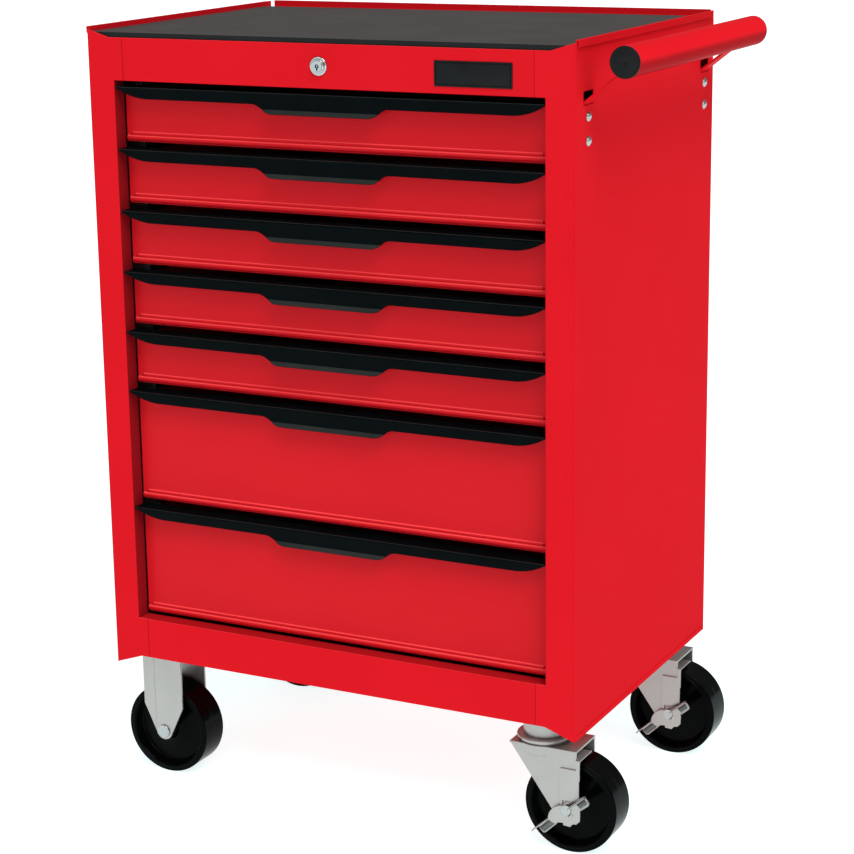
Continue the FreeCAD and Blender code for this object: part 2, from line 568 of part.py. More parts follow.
def swivel_plates():
    """Mounting plates with the fixed half of each swivel bearing."""
    pieces = []
    for y in CASTER_YS:
        plate = box(SWIVEL_X - 50.0, SWIVEL_X + 50.0, y - 40.0, y + 40.0, PLATE_TOP - FORK_SHEET, PLATE_TOP)
        housing = rod_z(SWIVEL_X, y, 27.0, RACE_TOP + 0.3, PLATE_TOP - FORK_SHEET)
        bore = rod_z(SWIVEL_X, y, 6.0 + RUNNING, RACE_TOP - 1.0, PLATE_TOP - 4.0)
        pieces.append(cut(fuse([plate, housing]), [bore] + plate_holes(SWIVEL_X, y)))
    return group(pieces)


def swivel_fork(y):
    """Rotating half: race ring, kingpin, top plate and two raked legs."""
    axle_x = SWIVEL_X + TRAIL
    front, rear = y - FORK_HALF, y + FORK_HALF
    left, right = SWIVEL_X - 35.5, SWIVEL_X + 56.5
    lobe_x = right - LOBE
    outline = [(left, FORK_TOP), (right, FORK_TOP), (right, WHEEL_RADIUS), (lobe_x, WHEEL_RADIUS - LOBE),
               (lobe_x - 5.0, WHEEL_RADIUS - LOBE), (lobe_x - 14.0, WHEEL_RADIUS - 9.0)]
    parts = [box(left, right, front, rear, FORK_TOP - FORK_SHEET, FORK_TOP)]
    for y0, y1 in ((front, front + FORK_SHEET), (rear - FORK_SHEET, rear)):
        parts.append(plate_xz(outline, y0, y1))
        parts.append(rod_y(lobe_x, WHEEL_RADIUS, LOBE, y0, y1))
    skirt_outer, skirt_inner, skirt_low = 34.5, 31.0, FORK_TOP - 12.0
    skirt = cut(rod_z(SWIVEL_X, y, skirt_outer, skirt_low, FORK_TOP),
                [rod_z(SWIVEL_X, y, skirt_inner, skirt_low - 1.0, FORK_TOP + 1.0),
                 box(0, WIDTH, front + 2.0, rear - 2.0, skirt_low - 1.0, FORK_TOP + 1.0)])
    parts += [s for s in skirt.Solids]
    parts.append(rod_z(SWIVEL_X, y, 31.0, FORK_TOP - 1.0, FORK_TOP + 2.5))
    ring = rod_z(SWIVEL_X, y, 35.5, FORK_TOP + 2.0, RACE_TOP)
    rims = [e for e in ring.Edges if e.Length > 100.0 and abs(e.BoundBox.ZMin - e.BoundBox.ZMax) < 0.01]
    parts.append(ring.makeFillet(2.4, rims))
    parts.append(rod_z(SWIVEL_X, y, 6.0, FORK_TOP - FORK_SHEET, PLATE_TOP - 5.0))
    axle_hole = rod_y(axle_x, WHEEL_RADIUS, AXLE_RADIUS + RUNNING, y - 60.0, y + 60.0)
    return cut(fuse(parts), axle_hole)


def swivel_axle(y):
    """Axle pin with a hexagon head behind the fork and a flat head in front of the brake lever."""
    axle_x = SWIVEL_X + TRAIL
    front, rear = y - FORK_HALF, y + FORK_HALF
    shank = rod_y(axle_x, WHEEL_RADIUS, AXLE_RADIUS, front - 6.8, rear + 1.0)
    head = hex_prism(vec(axle_x, rear, WHEEL_RADIUS), 16.0, 5.5, "y")
    flat_head = rod_y(axle_x, WHEEL_RADIUS, 7.0, front - 6.8, front - 5.8)
    return fuse([shank, head, flat_head])


def brake_shoe(y):
    """Strip outside the front leg, with a window for the cam, a neck past the leg and a pad."""
    axle_x = SWIVEL_X + TRAIL
    front = y - FORK_HALF
    leg_edge = SWIVEL_X + 56.5
    pad_bottom = 2 * WHEEL_RADIUS + SHOE_TRAVEL + 0.15
    pad_top = pad_bottom + 2.0
    left, right = axle_x - 10.0, axle_x + 16.0
    strip = box(left, right, front - 2.2, front - 0.2, WHEEL_RADIUS - 14.0, WHEEL_RADIUS + 54.5)
    neck = box(leg_edge + 0.3, leg_edge + 5.5, front - 2.2, front - 0.2, WHEEL_RADIUS + 40.0, pad_top)
    shelf = box(leg_edge + 0.3, leg_edge + 5.5, front - 2.2, front + 12.0, pad_bottom, pad_top)
    pad = box(axle_x - 7.0, leg_edge + 5.5, front + FORK_SHEET + 0.3, y + 7.0, pad_bottom, pad_top)
    cam_z = CAM_OFFSET * math.sin(LEVER_SWING / 2.0)
    low_x = CAM_OFFSET * math.cos(LEVER_SWING / 2.0) - CAM_RADIUS - 0.2
    high_x = CAM_OFFSET + CAM_RADIUS + 0.2
    window = box(axle_x + low_x, axle_x + high_x, front - 3.0, front + 1.0,
                 WHEEL_RADIUS + cam_z - CAM_RADIUS - 0.2, WHEEL_RADIUS + cam_z + CAM_RADIUS + 0.2)
    return cut(fuse([strip, neck, shelf, pad]), window)


def brake_lever(y):
    """Butterfly pedal on the axle with an eccentric cam behind it."""
    axle_x = SWIVEL_X + TRAIL
    front = y - FORK_HALF
    y0, y1 = front - 5.7, front - 2.7
    half_swing = LEVER_SWING / 2.0
    rounded_side = Part.Arc(vec(-25.0, y0, -16.0), vec(-18.0, y0, 0.0), vec(3.8, y0, 4.5)).toShape()
    straight_side = [(3.8, 4.5), (24.8, 22.8), (29.0, 18.5), (31.5, 15.0), (31.2, 12.0), (18.8, 2.2),
                     (19.2, 0.0), (18.8, -12.1), (13.9, -17.1), (9.4, -17.3), (5.7, -21.8), (-4.0, -20.9),
                     (-4.0, -17.9), (-10.8, -18.6), (-28.0, -35.5), (-31.0, -36.0), (-38.1, -29.0),
                     (-25.0, -16.0)]
    corners = [vec(x, y0, z) for x, z in straight_side]
    lines = [Part.makeLine(a, b) for a, b in zip(corners, corners[1:])]
    blade = Part.Face(Part.Wire([rounded_side] + lines)).extrude(vec(0, y1 - y0, 0))
    flanges = [box(4.0, 34.0, y0 - 5.0, y1, -1.6, 0), box(-57.0, -29.5, y0 - 5.0, y1, 4.6, 6.2)]
    flanges[0].rotate(vec(0, 0, 0), vec(0, 1, 0), -41.2)
    flanges[1].rotate(vec(0, 0, 0), vec(0, 1, 0), -43.0)
    flanges[0].translate(vec(0, 0, 0.9))
    rivet = rod_y(6.4, -5.3, 3.7, y0 - 1.6, y0)
    cam = rod_y(CAM_OFFSET * math.cos(half_swing), CAM_OFFSET * math.sin(half_swing), CAM_RADIUS,
                y1 - 0.5, front - 0.4)
    lever = cut(fuse([blade, cam, rivet] + flanges),
                [rod_y(0, 0, AXLE_RADIUS + RUNNING, y0 - 10, front + 1), rod_y(0, 0, 7.3, y0 - 2.0, y0)])
    lever.translate(vec(axle_x, 0, WHEEL_RADIUS))
    return lever


# ---------------------------------------------------------------- assembly
def build_cabinet(drawers):
    panel = side_panel()
    save("left_side_panel", panel)
    save("right_side_panel", cut(mirrored(panel), handle_openings()))
    save("back_panel", back_panel(drawers))
    save("base_pan", base_pan())
    save("top_tray", top_tray())
    save("lock_rail", lock_rail())
    save("top_mat", top_mat())
    save("slide_uprights", slide_uprights())
    members = [cabinet_member(d["slide_z"]) for d in drawers]
    save("slide_cabinet_members", group(members + [mirrored(m) for m in members]))


def build_drawers(drawers):
    for number, drawer in enumerate(drawers, start=1):
        save("drawer_%d_box" % number, drawer_box(drawer))
        save("drawer_%d_pull" % number, drawer_pull(drawer))
        save("drawer_%d_slides" % number, both_sides(inner_member(drawer["slide_z"])))
        save("slide_middle_%d" % number, both_sides(middle_member(drawer["slide_z"])))


def build_lock(drawers):
    save("lock_housing", lock_housing())
    save("lock_plug", lock_plug())
    save("lock_bar", lock_bar(drawers))


def build_handle():
    save("handle_tube", handle_tube())
    save("handle_end_caps", handle_end_caps())
    save("handle_brackets", handle_brackets())
    save("handle_bolts", handle_bolts())


def build_casters():
    save("fixed_forks", group([fixed_fork(y) for y in CASTER_YS]))
    save("fixed_axles", fixed_axles())
    save("swivel_plates", swivel_plates())
    save("caster_bolts", caster_bolts())
    for side, y in zip(("front", "rear"), CASTER_YS):
        save("fixed_wheel_" + side, wheel(FIXED_X, y))
        save("swivel_fork_" + side, swivel_fork(y))
        save("swivel_wheel_" + side, wheel(SWIVEL_X + TRAIL, y))
        save("swivel_axle_" + side, swivel_axle(y))
        save("brake_shoe_" + side, brake_shoe(y))
        save("brake_lever_" + side, brake_lever(y))


os.makedirs("parts", exist_ok=True)
layout = drawer_layout()
build_cabinet(layout)
build_drawers(layout)
build_lock(layout)
build_handle()
build_casters()
print("brake shoe travel", round(SHOE_TRAVEL, 3), "mm; drawer travel", TRAVEL, "mm")
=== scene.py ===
import json
import math

import bmesh
import bpy
from mathutils import Matrix, Vector


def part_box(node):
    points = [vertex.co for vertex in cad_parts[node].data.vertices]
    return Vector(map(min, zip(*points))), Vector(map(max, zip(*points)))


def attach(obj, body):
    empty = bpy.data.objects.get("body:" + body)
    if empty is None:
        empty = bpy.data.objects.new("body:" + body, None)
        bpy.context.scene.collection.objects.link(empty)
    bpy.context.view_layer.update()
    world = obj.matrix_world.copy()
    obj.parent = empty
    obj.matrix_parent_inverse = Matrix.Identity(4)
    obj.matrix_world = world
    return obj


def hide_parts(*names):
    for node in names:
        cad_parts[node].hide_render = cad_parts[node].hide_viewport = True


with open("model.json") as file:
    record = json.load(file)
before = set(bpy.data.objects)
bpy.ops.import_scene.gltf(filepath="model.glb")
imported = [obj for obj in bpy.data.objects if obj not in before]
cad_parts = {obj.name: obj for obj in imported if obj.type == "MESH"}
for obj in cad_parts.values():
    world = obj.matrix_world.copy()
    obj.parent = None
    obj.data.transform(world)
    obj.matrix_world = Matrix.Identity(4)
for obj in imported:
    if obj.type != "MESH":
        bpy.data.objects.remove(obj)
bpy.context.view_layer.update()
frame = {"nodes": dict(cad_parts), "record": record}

# ------------------------------------------------------------------ driving values (metres, degrees)
MM = 0.001
CAMERA_PLACE = (1.3406, -2.6567, 1.2602)
CAMERA_AZIMUTH = 27.717
CAMERA_ELEVATION = 14.184
CAMERA_ROLL = -0.971
FOCAL_WIDTHS = 2.6634            # focal length in picture widths
CAMERA_SHIFT = (0.03445, -0.02237)

SUN_STRENGTH = 2.2
SUN_SOFTNESS = 35.0
SUN_TILT = (24.0, 26.0)          # towards the front and towards the handle side
SOFTBOXES = (                    # name, place, target, size, power
    ("key", (-1.5, -3.0, 2.4), (0, 0, 0.5), (0.8, 0.8), 9.0),
    ("side", (3.2, -0.2, 2.0), (0, 0, 0.5), (0.9, 1.2), 8.0),
    ("low", (0.2, -3.2, 0.55), (0.1, 0, 0.2), (0.8, 0.5), 6.0),
)
WORLD_STRENGTH = 0.30
FLOOR_SIZE = 60.0
FLOOR_COLOUR = (0.45, 0.55, 0.55, 1.0)
FLOOR_GLOW = (0.88, 1.0, 1.0, 1.0)
FLOOR_GLOW_STRENGTH = 0.88

DRAWERS = range(1, 8)
CASTER_ENDS = ("front", "rear")

# Rounding of a node's edges in mm, by a word in its name: thicker stock has rounder edges.
EDGE_WIDTHS = (("pull", 0.7), ("fork", 0.8), ("lever", 0.8), ("mat", 0.8), ("plug", 0.3), ("housing", 0.3))
SHEET_EDGE = 0.4
EDGE_SEGMENTS = 2
SHARP_ANGLE = 28.0
FLAT_ANGLE = 0.6

RED_DEEP, RED_BRIGHT = (0.640, 0.0088, 0.0155), (0.665, 0.0096, 0.0165)
# Painted highlight: a paler red on faces turned up and forward, where light catches the beads and lips.
RIDGE_HIGHLIGHT_DEEP, RIDGE_HIGHLIGHT_BRIGHT = (0.860, 0.060, 0.064), (0.900, 0.068, 0.072)
RIDGE_HIGHLIGHT_FACING = (0.0, -0.6, 0.8)
# Painted highlight: the pulls' flared lip faces this way.
LIP_HIGHLIGHT_FACING = (0.0, -0.894, 0.447)
UPWARDS = (0.0, 0.0, 1.0)
SHEET_GLOSS = 0.001
DRAWER_GLOSS = 0.06
ABOVE_ALL = 2.0                  # a height over the whole object

# Wheel side from the bore outwards, in mm: radius and drop below the hub's face, then radius and
# distance from the wheel's middle, then radius and drop below the rim's face.
WHEEL_HUB = ((5.05, 0.0), (11.0, 0.0), (12.2, 0.9), (13.0, 1.5))
WHEEL_WEB = ((14.2, 18.2), (16.0, 16.2), (17.5, 15.6), (47.5, 9.7), (49.2, 10.2), (50.2, 11.6))
WHEEL_RIDGE = ((52.9, 1.9), (53.9, 0.5), (55.1, 0.0), (56.3, 0.15), (57.3, 0.7), (59.8, 0.75))
RIM_SET_BACK = 4.2
SHOULDER = 1.9
SHOULDER_STEPS = 6
WHEEL_SEGMENTS = 144

# End cap crown: share of the radius, drop in mm.
CAP_CROWN = ((0.35, 0.12), (0.62, 0.45), (0.80, 0.95), (0.87, 1.35), (0.90, 1.2), (0.955, 1.25), (0.985, 1.7),
             (1.0, 2.4))
CAP_THICK = 3.0
CAP_PLUG_RADIUS, CAP_PLUG_LENGTH = 16.9, 12.0
CAP_SEGMENTS = 96

BRACKET_WIDTH = 28.0
WELD_HALF_LENGTH = 12.5
WELD_RADIUS = 1.5
WELD_RIPPLES = 7
WELD_LINES = ((-11.1, -15.5), (-13.6, -13.3))       # x and z from the tube's axis

HEM = 3.0                        # how far the rolled side lips stand out
CLEARANCE = 163.0                # floor to the lowest cabinet corner
PLATE_X = (497.5, 600.0)         # from the outer face of the left side panel
PLATE_Z = (804.6, 835.4)         # above the lowest cabinet corner
PLATE_CORNER = 0.8
PLATE_PROUD = 1.0
BORDER_INSET, BORDER_WIDTH = 2.2, 0.6

# Brake pedals in the plane of the lever: x and z from the axle, in mm.
PEDAL_RIMS = (
    ((19.6, 2.9), (30.3, 12.2), (30.7, 14.8), (28.3, 17.9), (25.2, 21.2)),
    ((-12.2, -19.2), (-28.2, -34.7), (-30.7, -35.1), (-36.9, -29.0)),
)
PEDAL_FACES = (
    ((14.0, 11.0), (24.8, 20.4), (27.7, 17.2), (29.3, 14.6), (29.0, 13.4), (19.6, 5.6)),
    ((-23.7, -17.3), (-35.8, -29.2), (-30.6, -34.0), (-28.5, -33.2), (-15.6, -21.1)),
)
LEVER_BEFORE_SHOE = 3.5
RIM_RADIUS = 0.75

BALL_RADIUS = 1.05
BALLS_IN_ROW = 14
BALL_PITCH = 10.0
FIRST_BALL = 250.0
BALL_INSET_X, BALL_INSET_Z = 5.75, 2.35

WELD_SPOTS = 11
SPOT_INSET_X = 13.0
SPOT_LOW_MARGIN, SPOT_MARGINS = 30.0, 75.0
SPOT_RADIUS = 3.0
SPOT_RINGS = ((1.0, -0.02), (0.86, 0.16), (0.66, 0.2), (0.45, 0.08))     # share of the radius, lift in mm
SPOT_SEGMENTS = 20

nodes = frame["nodes"]
scene = bpy.context.scene


# ------------------------------------------------------------------ material helpers
def new_material(name):
    material = bpy.data.materials.new(name)
    material.use_nodes = True
    tree = material.node_tree
    tree.nodes.clear()
    shader = tree.nodes.new("ShaderNodeBsdfPrincipled")
    output = tree.nodes.new("ShaderNodeOutputMaterial")
    tree.links.new(shader.outputs["BSDF"], output.inputs["Surface"])
    place = tree.nodes.new("ShaderNodeTexCoord").outputs["Object"]
    return material, tree, shader, place


def noise(tree, place, scale, detail=2.0, stretch=None):
    if stretch:
        mapping = tree.nodes.new("ShaderNodeMapping")
        mapping.inputs["Scale"].default_value = stretch
        tree.links.new(place, mapping.inputs["Vector"])
        place = mapping.outputs["Vector"]
    node = tree.nodes.new("ShaderNodeTexNoise")
    node.inputs["Scale"].default_value = scale
    node.inputs["Detail"].default_value = detail
    tree.links.new(place, node.inputs["Vector"])
    return node.outputs["Fac"]


def ranged(tree, value, low, high, start=0.35, end=0.65):
    """Stretches a value from start..end, by default the usual span of a noise, to low..high."""
    node = tree.nodes.new("ShaderNodeMapRange")
    node.inputs["From Min"].default_value = start
    node.inputs["From Max"].default_value = end
    node.inputs["To Min"].default_value = low
    node.inputs["To Max"].default_value = high
    tree.links.new(value, node.inputs["Value"])
    return node.outputs["Result"]


def mixed(tree, factor, first, second):
    """Mix of two colours, each a plain colour or another node's output."""
    node = tree.nodes.new("ShaderNodeMix")
    node.data_type = "RGBA"
    for key, colour in (("A", first), ("B", second)):
        if isinstance(colour, tuple):
            node.inputs[key].default_value = (*colour, 1.0)
        else:
            tree.links.new(colour, node.inputs[key])
    tree.links.new(factor, node.inputs["Factor"])
    return node.outputs["Result"]


def cloudy(tree, place, scale, first, second, detail=2.0):
    """Colour that drifts between two tones."""
    return mixed(tree, ranged(tree, noise(tree, place, scale, detail), 0.0, 1.0), first, second)


def bump(tree, shader, height, distance):
    node = tree.nodes.new("ShaderNodeBump")
    node.inputs["Distance"].default_value = distance
    tree.links.new(height, node.inputs["Height"])
    tree.links.new(node.outputs["Normal"], shader.inputs["Normal"])


def math_node(tree, operation, first, second):
    node = tree.nodes.new("ShaderNodeMath")
    node.operation = operation
    tree.links.new(first, node.inputs[0])
    if isinstance(second, float):
        node.inputs[1].default_value = second
    else:
        tree.links.new(second, node.inputs[1])
    return node


def facing(tree, direction, start=0.35, end=0.65):
    """Runs from 0 to 1 as a face turns towards a direction of the object."""
    dot = tree.nodes.new("ShaderNodeVectorMath")
    dot.operation = "DOT_PRODUCT"
    dot.inputs[1].default_value = direction
    tree.links.new(tree.nodes.new("ShaderNodeTexCoord").outputs["Normal"], dot.inputs[0])
    return ranged(tree, dot.outputs["Value"], 0.0, 1.0, start, end)


def below(tree, place, height):
    """Runs from 1 under a height of the object to 0 above it."""
    split = tree.nodes.new("ShaderNodeSeparateXYZ")
    tree.links.new(place, split.inputs[0])
    return ranged(tree, split.outputs["Z"], 1.0, 0.0, height - 4.0 * MM, height)


# ------------------------------------------------------------------ materials
def powder_coat(name, depth=1.0, gloss=SHEET_GLOSS, shade_towards=None, shade_level=0.40, shade_below=ABOVE_ALL):
    """Powder coat with a fine orange peel, a painted highlight along ridges and painted shade on faces turned
    towards one direction; depth makes lighter or darker copies of the red as painted light or shade.
    """
    material, tree, shader, place = new_material(name)
    deep, bright = (tuple(c * depth for c in tone) for tone in (RED_DEEP, RED_BRIGHT))
    colour = cloudy(tree, place, 5.0, deep, bright)
    if shade_towards:
        # Painted shade: a darker red on faces turned towards one direction, under a given height.
        dark = cloudy(tree, place, 5.0, (shade_level * 0.97, 0.0070, 0.0110), (shade_level * 1.03, 0.0078, 0.0120))
        shade_mask = math_node(tree, "MULTIPLY", facing(tree, shade_towards), below(tree, place, shade_below))
        colour = mixed(tree, shade_mask.outputs[0], colour, dark)
    # Painted highlight: paler red on faces turned up and forward along the beads and lip tops.
    painted_highlight = cloudy(tree, place, 5.0, RIDGE_HIGHLIGHT_DEEP, RIDGE_HIGHLIGHT_BRIGHT)
    colour = mixed(tree, facing(tree, RIDGE_HIGHLIGHT_FACING, 0.89, 0.97), colour, painted_highlight)
    tree.links.new(colour, shader.inputs["Base Color"])
    tree.links.new(ranged(tree, noise(tree, place, 350.0), 0.28, 0.30), shader.inputs["Roughness"])
    shader.inputs["Specular IOR Level"].default_value = gloss
    bump(tree, shader, noise(tree, place, 700.0), 0.012 * MM)
    return material


def black_satin():
    """Satin paint, with a painted highlight on the flared lip of the pulls."""
    material, tree, shader, place = new_material("black_satin_paint")
    deep = cloudy(tree, place, 18.0, (0.0009, 0.0021, 0.0026), (0.0014, 0.0028, 0.0034))
    # Painted highlight: grey on the flared lip, where light catches it.
    painted_highlight = cloudy(tree, place, 18.0, (0.020, 0.022, 0.021), (0.025, 0.027, 0.026))
    tree.links.new(mixed(tree, facing(tree, LIP_HIGHLIGHT_FACING, 0.93, 0.97), deep, painted_highlight), shader.inputs["Base Color"])
    tree.links.new(ranged(tree, noise(tree, place, 90.0), 0.30, 0.40), shader.inputs["Roughness"])
    shader.inputs["Specular IOR Level"].default_value = 0.02
    bump(tree, shader, noise(tree, place, 900.0), 0.03 * MM)
    return material


def zinc(name, tone, rough=0.32, metallic=0.85):
    """Zinc plate with faint rolling lines and blotches."""
    material, tree, shader, place = new_material(name)
    lines = noise(tree, place, 1.0, 3.0, (30.0, 30.0, 1800.0))
    blotch = noise(tree, place, 25.0)
    marks = math_node(tree, "MULTIPLY_ADD", lines, 0.3)
    tree.links.new(blotch, marks.inputs[2])
    dark = tuple(c * 0.88 for c in tone)
    colour = mixed(tree, ranged(tree, marks.outputs[0], 0.0, 1.0, 0.45, 0.85), dark, tone)
    tree.links.new(colour, shader.inputs["Base Color"])
    tree.links.new(ranged(tree, blotch, rough - 0.05, rough + 0.08), shader.inputs["Roughness"])
    shader.inputs["Metallic"].default_value = metallic
    bump(tree, shader, lines, 0.02 * MM)
    return material


def chrome():
    """Polished plate with faint smudges."""
    material, tree, shader, place = new_material("lock_chrome_plate")
    colour = cloudy(tree, place, 120.0, (0.42, 0.43, 0.44), (0.52, 0.52, 0.52))
    tree.links.new(colour, shader.inputs["Base Color"])
    shader.inputs["Metallic"].default_value = 1.0
    tree.links.new(ranged(tree, noise(tree, place, 120.0), 0.12, 0.24), shader.inputs["Roughness"])
    return material


def grained_rubber():
    """Mat with a fine pressed grain; its top is painted lighter as painted light from above, its cut sides
    near black as painted shade.
    """
    material, tree, shader, place = new_material("mat_rubber_grain")
    # Painted light and shade: a lighter top and near-black sides, mixed by how a face turns up.
    top = cloudy(tree, place, 14.0, (0.058, 0.053, 0.051), (0.067, 0.062, 0.060), 4.0)
    side = cloudy(tree, place, 14.0, (0.0080, 0.0095, 0.0095), (0.0105, 0.0120, 0.0120), 4.0)
    tree.links.new(mixed(tree, facing(tree, UPWARDS, 0.75, 0.95), side, top), shader.inputs["Base Color"])
    shader.inputs["Roughness"].default_value = 0.62
    shader.inputs["Specular IOR Level"].default_value = 0.15
    grain = tree.nodes.new("ShaderNodeTexVoronoi")
    grain.inputs["Scale"].default_value = 600.0
    tree.links.new(place, grain.inputs["Vector"])
    bump(tree, shader, grain.outputs["Distance"], 0.2 * MM)
    return material


def wheel_plastic():
    """Hard black plastic with a moulded sheen."""
    material, tree, shader, place = new_material("wheel_hard_plastic")
    colour = cloudy(tree, place, 30.0, (0.0006, 0.0007, 0.0008), (0.0012, 0.0013, 0.0015))
    tree.links.new(colour, shader.inputs["Base Color"])
    tree.links.new(ranged(tree, noise(tree, place, 60.0, 4.0), 0.12, 0.20), shader.inputs["Roughness"])
    shader.inputs["Specular IOR Level"].default_value = 0.035
    bump(tree, shader, noise(tree, place, 500.0), 0.02 * MM)
    return material


def cap_plastic():
    """Matt black plastic with a fine moulded texture."""
    material, tree, shader, place = new_material("cap_black_plastic")
    colour = cloudy(tree, place, 40.0, (0.0060, 0.0065, 0.0070), (0.0085, 0.0090, 0.0095))
    tree.links.new(colour, shader.inputs["Base Color"])
    shader.inputs["Roughness"].default_value = 0.42
    shader.inputs["Specular IOR Level"].default_value = 0.10
    bump(tree, shader, noise(tree, place, 1400.0), 0.06 * MM)
    return material


MATERIALS = {
    "red_paint": powder_coat("red_powder_coat"),
    "mat_rubber": grained_rubber(),
    "black_paint": black_satin(),
    "zinc_sheet": zinc("zinc_sheet_bright", (0.46, 0.47, 0.46)),
    "caster_zinc": zinc("caster_zinc_plate", (0.455, 0.425, 0.41), 0.36, 0.75),
    "bolt_steel": zinc("bolt_bright_zinc", (0.44, 0.45, 0.45), 0.20, 0.95),
    "lock_chrome": chrome(),
    "black_plastic": cap_plastic(),
    "wheel_plastic": wheel_plastic(),
}
LIP_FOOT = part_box("top_mat")[0][2] - 2.0 * MM
# Painted shade: the inward faces of the side panels below the mat, the upward faces of the base pan under the
# drawers and the underside of the handle tube get a darker red.
SHEET_COATS = {
    "left_side_panel": powder_coat("red_powder_coat_left", shade_towards=(1.0, 0.0, 0.0), shade_level=0.27,
                                   shade_below=LIP_FOOT),
    # Painted light: the right panel gets a slightly lighter copy of the red.
    "right_side_panel": powder_coat("red_powder_coat_right", 1.04, shade_towards=(-1.0, 0.0, 0.0), shade_level=0.27,
                                    shade_below=LIP_FOOT),
    "base_pan": powder_coat("red_powder_coat_pan", shade_towards=UPWARDS),
    # Painted light: the tube gets a lighter copy of the red, on top of the painted shade underneath.
    "handle_tube": powder_coat("red_powder_coat_tube", 1.18, shade_towards=(0.5, 0.0, -0.866)),
}
# Painted shade: the drawer fronts get a slightly darker copy of the red.
DRAWER_COAT = powder_coat("red_powder_coat_drawer", 0.97, DRAWER_GLOSS)
PEDAL_FACE = zinc("pedal_dark_zinc", (0.13, 0.135, 0.135), 0.42, 0.7)


# ------------------------------------------------------------------ CAD nodes: finishes and softened edges
def soften(piece, width, merge_flats):
    """Rounds sharp edges; flat neighbours are merged first where that leaves clean faces."""
    weld = piece.modifiers.new("weld", "WELD")
    weld.merge_threshold = 0.001 * MM
    if merge_flats:
        flat = piece.modifiers.new("flat", "DECIMATE")
        flat.decimate_type = "DISSOLVE"
        flat.angle_limit = math.radians(FLAT_ANGLE)
    bevel = piece.modifiers.new("bevel", "BEVEL")
    bevel.width = width
    bevel.segments = EDGE_SEGMENTS
    bevel.limit_method = "ANGLE"
    bevel.angle_limit = math.radians(SHARP_ANGLE)
    bevel.use_clamp_overlap = False
    weighted = piece.modifiers.new("weighted", "WEIGHTED_NORMAL")
    weighted.weight = 50


def edge_width(name):
    for word, width in EDGE_WIDTHS:
        if word in name:
            return width * MM
    return SHEET_EDGE * MM


def dress_nodes():
    slots = {p["node"]: p["material_slot"] for p in frame["record"]["subparts"]}
    for name, node in nodes.items():
        is_drawer = name.endswith("_box")
        node.data.materials.clear()
        coat = DRAWER_COAT if is_drawer else SHEET_COATS.get(name, MATERIALS[slots[name]])
        node.data.materials.append(coat)
        soften(node, edge_width(name), not is_drawer)


# ------------------------------------------------------------------ mesh helpers
def mesh_piece(name, bm, slot, body, stands_for=()):
    """Turns a bmesh into a smooth-shaded piece that rides on a body."""
    bmesh.ops.remove_doubles(bm, verts=bm.verts, dist=1e-6)
    bmesh.ops.recalc_face_normals(bm, faces=bm.faces)
    for face in bm.faces:
        face.smooth = True
    mesh = bpy.data.meshes.new(name)
    bm.to_mesh(mesh)
    bm.free()
    piece = bpy.data.objects.new(name, mesh)
    scene.collection.objects.link(piece)
    mesh.materials.append(MATERIALS[slot])
    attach(piece, body)
    if stands_for:
        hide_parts(*stands_for)
    return piece


def circle(steps):
    """Cosine and sine pairs round a full turn."""
    return [(math.cos(2.0 * math.pi * k / steps), math.sin(2.0 * math.pi * k / steps)) for k in range(steps)]


def join_rings(bm, rings, closed=False):
    """Quads between neighbouring rings; a closed row also joins the last ring to the first."""
    following = rings[1:] + (rings[:1] if closed else [])
    for a, b in zip(rings, following):
        for i in range(len(a)):
            j = (i + 1) % len(a)
            bm.faces.new((a[i], a[j], b[j], b[i]))


def capped_tube(bm, rings):
    join_rings(bm, rings)
    bm.faces.new(rings[0])
    bm.faces.new(rings[-1])


def add_lathe(bm, profile, centre, segments):
    """Closed profile of (radius, y), turned about the y axis through a centre."""
    rings = [[bm.verts.new(centre + Vector((radius * c, along, radius * s))) for radius, along in profile]
             for c, s in circle(segments)]
    join_rings(bm, rings, closed=True)


def add_slab(bm, outline, y_back, y_front, soft):
    """Closed outline in x and z made into a slab with a softened front edge."""
    steps = [(0.0, y_back), (0.0, y_front + soft), (0.3 * soft, y_front + 0.3 * soft), (soft, y_front)]
    centre = Vector((sum(p[0] for p in outline), sum(p[1] for p in outline))) / len(outline)
    rings = []
    for inset, y in steps:
        ring = []
        for x, z in outline:
            inward = centre - Vector((x, z))
            shift = Vector((math.copysign(inset, inward.x), math.copysign(inset, inward.y)))
            ring.append(bm.verts.new((x + shift.x, y, z + shift.y)))
        rings.append(ring)
    capped_tube(bm, rings)


def rectangle(x0, x1, z0, z1, corner, steps=4):
    """Rectangle whose corners are short arcs."""
    points = [(x0, z0), (x1, z0), (x1, z1), (x0, z1)]
    result = []
    for i, point in enumerate(points):
        here = Vector(point)
        before, after = Vector(points[i - 1]) - here, Vector(points[(i + 1) % 4]) - here
        start, end = here + before.normalized() * corner, here + after.normalized() * corner
        for k in range(steps + 1):
            t = k / steps
            result.append(tuple(start * (1 - t) ** 2 + here * 2 * t * (1 - t) + end * t ** 2))
    return result


def corners_of(node):
    return [Vector(c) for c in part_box(node)]


def middle_of(node):
    """Centre of a node's box, and half its size."""
    low, high = corners_of(node)
    return (low + high) / 2.0, (high - low) / 2.0


